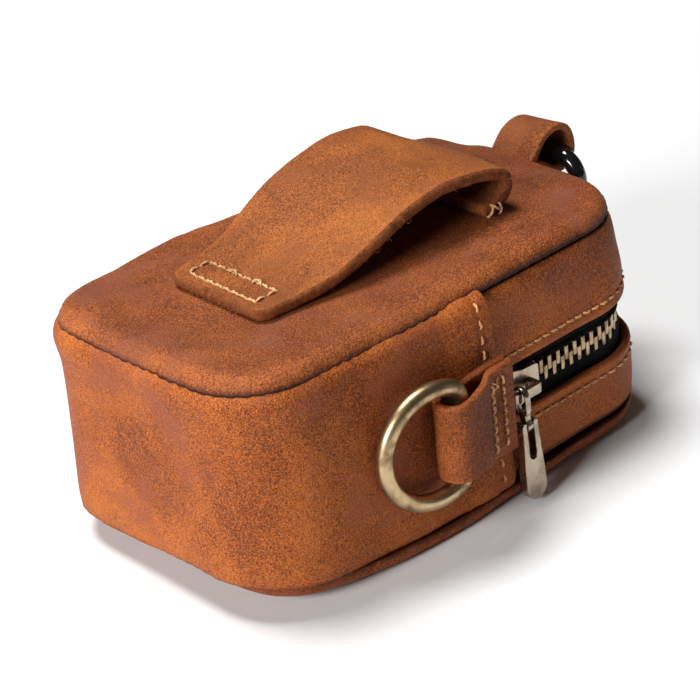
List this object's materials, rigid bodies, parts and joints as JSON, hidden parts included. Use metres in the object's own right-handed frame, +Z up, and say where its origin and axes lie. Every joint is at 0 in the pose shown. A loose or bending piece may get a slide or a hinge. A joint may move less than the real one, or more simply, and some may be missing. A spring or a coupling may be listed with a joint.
{
  "type": "leather zip bag",
  "caption": "Small boxy leather belt pouch with a zip round one end, two metal rings on leather tabs and a wide belt loop on its back.",
  "frame": {"origin": "under the middle of the whole bag, on the surface that its front panel lies on", "axes": "+Z up through the back panel with the belt loop, +X towards the end that the zip runs round, -Y towards the wall with the brass ring"},
  "size_m": [0.1248, 0.0846, 0.0659],
  "materials": {
    "bag_leather": "waxed pull-up leather, satin",
    "loop_leather": "waxed pull-up leather, raw paler edges",
    "antique_brass": "antique brass, worn satin",
    "black_metal": "gloss black",
    "zip_tape": "black woven tape"
  },
  "bodies": {
    "bag": {"back_panel": "bag_leather", "front_panel": "bag_leather", "lower_gusset": "bag_leather", "zip_gusset_back": "bag_leather", "zip_gusset_front": "bag_leather", "zip_tape_back": "zip_tape", "zip_tape_front": "zip_tape", "zip_chain_back": "antique_brass", "zip_chain_front": "antique_brass", "zip_slider": "antique_brass", "tab_near": "bag_leather", "tab_end": "bag_leather", "belt_loop": "loop_leather"},
    "link": {"pull_link": "antique_brass"},
    "pull": {"zip_pull": "antique_brass"},
    "brass_ring": {"d_ring_near": "antique_brass"},
    "black_ring": {"d_ring_end": "black_metal"}
  },
  "joints": [
    {"name": "link_swing", "type": "hinge", "parent": "bag", "child": "link", "pos_m": [0.00837, -0.03492, 0.0242], "axis": [-1, 0, 0], "range_deg": [0, 110]},
    {"name": "pull_swing", "type": "hinge", "parent": "link", "child": "pull", "pos_m": [0.00837, -0.03607, 0.0179], "axis": [-1, 0, 0], "range_deg": [0, 75]},
    {"name": "brass_ring_swing", "type": "hinge", "parent": "bag", "child": "brass_ring", "pos_m": [-0.01128, -0.03811, 0.0262], "axis": [0, 0, 1], "range_deg": [0, 120]},
    {"name": "black_ring_swing", "type": "hinge", "parent": "bag", "child": "black_ring", "pos_m": [0.05812, 0.00377, 0.0503], "axis": [0, -1, 0], "range_deg": [-8, 120]}
  ]
}
